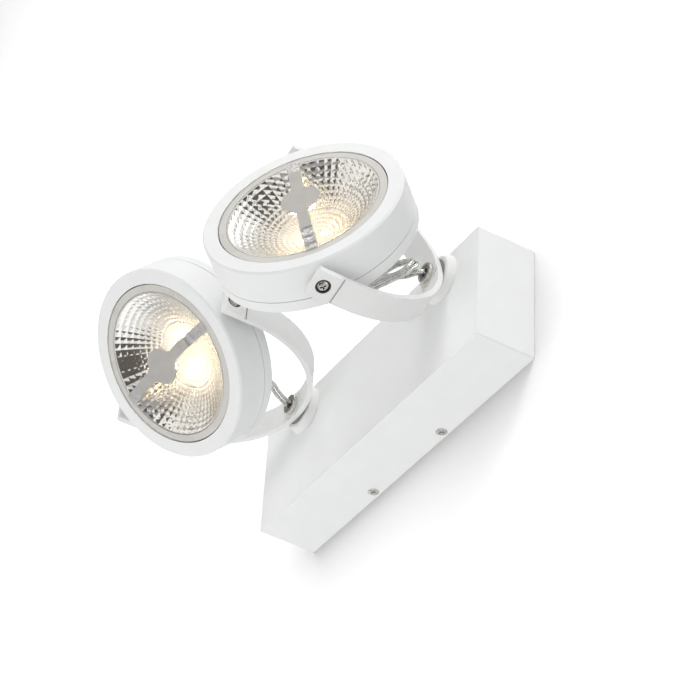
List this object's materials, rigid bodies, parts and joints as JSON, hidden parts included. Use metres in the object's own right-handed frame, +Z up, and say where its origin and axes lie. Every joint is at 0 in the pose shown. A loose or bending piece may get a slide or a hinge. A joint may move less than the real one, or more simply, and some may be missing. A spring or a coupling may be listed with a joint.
{
  "type": "twin wall spotlight",
  "caption": "Wall spotlight: a box base with swivelling yokes, each holding a tilting round head with a reflector lamp.",
  "frame": {"origin": "centre of the base's back face, on the wall", "axes": "+Y into the wall, +Z up, +X along the base to the right as seen from the room"},
  "size_m": [0.305, 0.1983, 0.1506],
  "materials": {
    "white_paint": "matt fine-texture powder coat",
    "white_paint_cast": "matt powder coat on die-cast aluminium",
    "zinc_steel": "zinc plated",
    "nickel": "nickel plated",
    "driver_case": "matt moulded",
    "cream_plastic": "matt moulded",
    "brass": "bright",
    "lead_green": "smooth",
    "lead_brown": "smooth",
    "lead_black": "smooth",
    "black_rubber": "matt",
    "grey_rubber": "matt",
    "black_nylon": "satin",
    "clear_flex": "clear, with tinned strands inside",
    "lamp_trim": "satin",
    "reflector_metal": "faceted, vapour-coated",
    "bridge_metal": "satin, with polished ends",
    "led_yellow": "phosphor yellow",
    "lamp_housing": "die-cast",
    "ceramic": "glazed",
    "spring_steel": "bright spring steel",
    "gland_rubber": "matt"
  },
  "bodies": {
    "base": {"base_cover": "white_paint", "wall_bracket": "zinc_steel", "cover_screws": "nickel", "driver": "driver_case", "driver_screws": "zinc_steel", "terminal_block": "cream_plastic", "terminal_screws": "brass", "earth_screw": "brass", "earth_lead": "lead_green", "mains_leads": "lead_brown", "lamp_leads_left": "lead_black", "lamp_leads_right": "lead_black", "cable_grommet": "black_rubber", "swivel_disc_left": "white_paint", "swivel_disc_right": "white_paint"},
    "yoke_left": {"yoke_left": "white_paint", "swivel_nipple_left": "nickel", "nipple_bush_left": "grey_rubber", "swivel_washer_left": "black_nylon", "stop_washer_left": "zinc_steel", "lock_nut_left": "zinc_steel", "pivot_bushes_left": "black_nylon", "flex_left": "clear_flex"},
    "yoke_right": {"yoke_right": "white_paint", "swivel_nipple_right": "nickel", "nipple_bush_right": "grey_rubber", "swivel_washer_right": "black_nylon", "stop_washer_right": "zinc_steel", "lock_nut_right": "zinc_steel", "pivot_bushes_right": "black_nylon", "flex_right": "clear_flex"},
    "head_left": {"head_ring_left": "white_paint_cast", "rear_cover_left": "white_paint_cast", "rear_screws_left": "zinc_steel", "pivot_screws_left": "nickel", "pivot_collars_left": "white_paint_cast", "lamp_rim_left": "lamp_trim", "reflector_left": "reflector_metal", "lamp_bridge_left": "bridge_metal", "led_module_left": "led_yellow", "lamp_body_left": "lamp_housing", "lamp_contacts_left": "brass", "lamp_socket_left": "ceramic", "lamp_clips_left": "spring_steel", "cable_gland_left": "gland_rubber"},
    "head_right": {"head_ring_right": "white_paint_cast", "rear_cover_right": "white_paint_cast", "rear_screws_right": "zinc_steel", "pivot_screws_right": "nickel", "pivot_collars_right": "white_paint_cast", "lamp_rim_right": "lamp_trim", "reflector_right": "reflector_metal", "lamp_bridge_right": "bridge_metal", "led_module_right": "led_yellow", "lamp_body_right": "lamp_housing", "lamp_contacts_right": "brass", "lamp_socket_right": "ceramic", "lamp_clips_right": "spring_steel", "cable_gland_right": "gland_rubber"}
  },
  "joints": [
    {"name": "swivel_left", "type": "hinge", "parent": "base", "child": "yoke_left", "pos_m": [-0.078, -0.043, 0.027], "axis": [0, -1, 0], "range_deg": [-168.6, 171.4]},
    {"name": "tilt_left", "type": "hinge", "parent": "yoke_left", "child": "head_left", "pos_m": [-0.078, -0.14325, 0.027], "axis": [0.9997, 0, -0.0244], "range_deg": [-135.9, 44.1], "deforming": ["flex_left"]},
    {"name": "swivel_right", "type": "hinge", "parent": "base", "child": "yoke_right", "pos_m": [0.091, -0.043, 0.027], "axis": [0, -1, 0], "range_deg": [-99.4, 240.6]},
    {"name": "tilt_right", "type": "hinge", "parent": "yoke_right", "child": "head_right", "pos_m": [0.091, -0.14325, 0.027], "axis": [0.3322, 0, -0.9432], "range_deg": [-49.9, 130.1], "deforming": ["flex_right"]}
  ]
}
